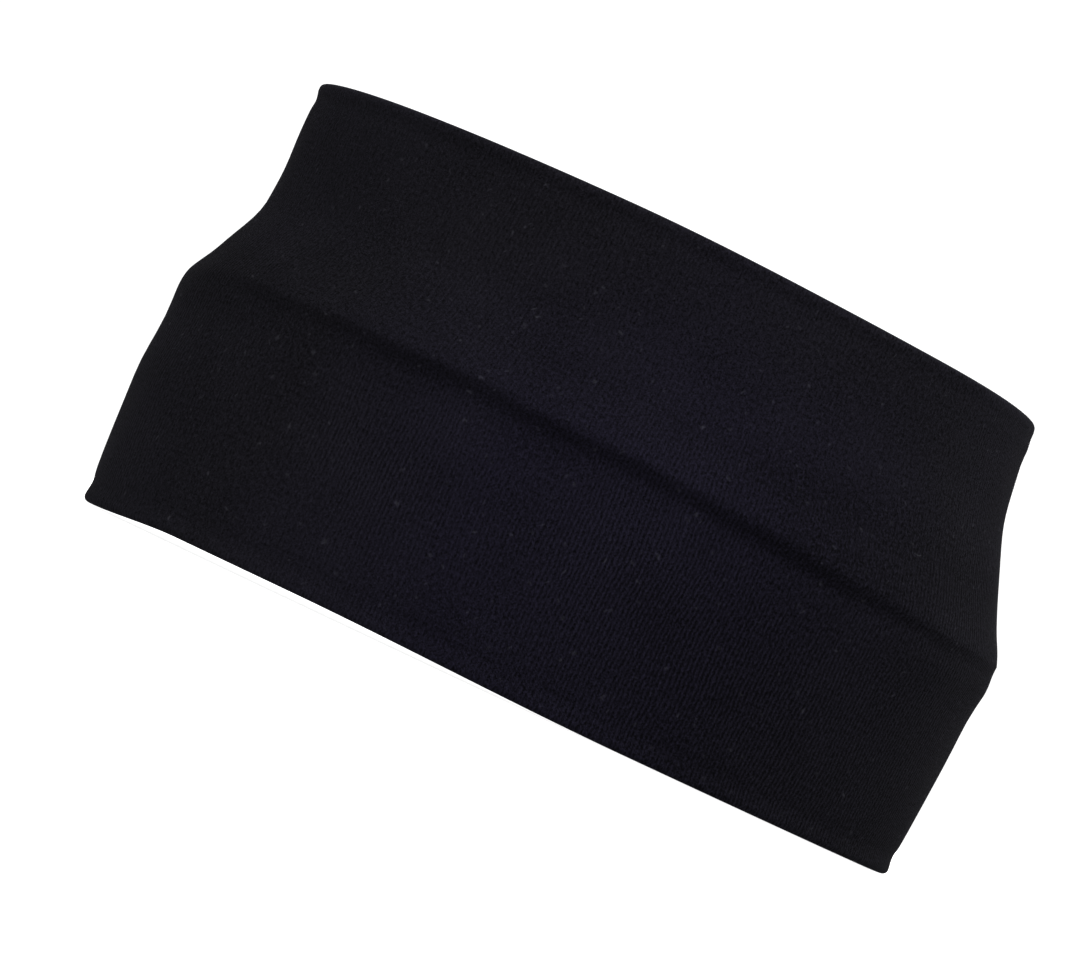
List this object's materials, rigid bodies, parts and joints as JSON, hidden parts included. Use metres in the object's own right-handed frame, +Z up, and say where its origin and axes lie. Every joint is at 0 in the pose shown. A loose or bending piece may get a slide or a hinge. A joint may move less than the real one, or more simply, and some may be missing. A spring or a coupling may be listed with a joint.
{
  "type": "stretch headband",
  "caption": "Wide double-layer jersey headband, open oval ring with a raised seam ridge round its middle and an upright closing seam at the nape.",
  "frame": {"origin": "centre of the bottom edge's plane, at the middle of the ring's length and width", "axes": "+Z up along the ring's axis from the bottom fold to the top fold; +X towards the nape, where the closing seam is; -Y is the side of the wearer's temple that is seen; the far side is +Y"},
  "size_m": [0.1849, 0.1161, 0.099],
  "materials": {
    "jersey": "matte fine black cotton and elastane jersey",
    "thread": "black spun polyester sewing thread"
  },
  "bodies": {
    "root": {"outer_layer": "jersey", "inner_layer_upper": "jersey", "inner_layer_lower": "jersey", "long_allowance_upper_ply": "jersey", "long_allowance_lower_ply": "jersey", "long_seam_needle_thread": "thread", "long_seam_upper_looper_thread": "thread", "long_seam_lower_looper_thread": "thread", "closing_allowance_left_inner_ply": "jersey", "closing_allowance_left_outer_ply": "jersey", "closing_allowance_right_outer_ply": "jersey", "closing_allowance_right_inner_ply": "jersey", "closing_seam_left_needle_thread": "thread", "closing_seam_right_needle_thread": "thread", "closing_seam_upper_looper_thread": "thread", "closing_seam_lower_looper_thread": "thread"}
  },
  "joints": []
}
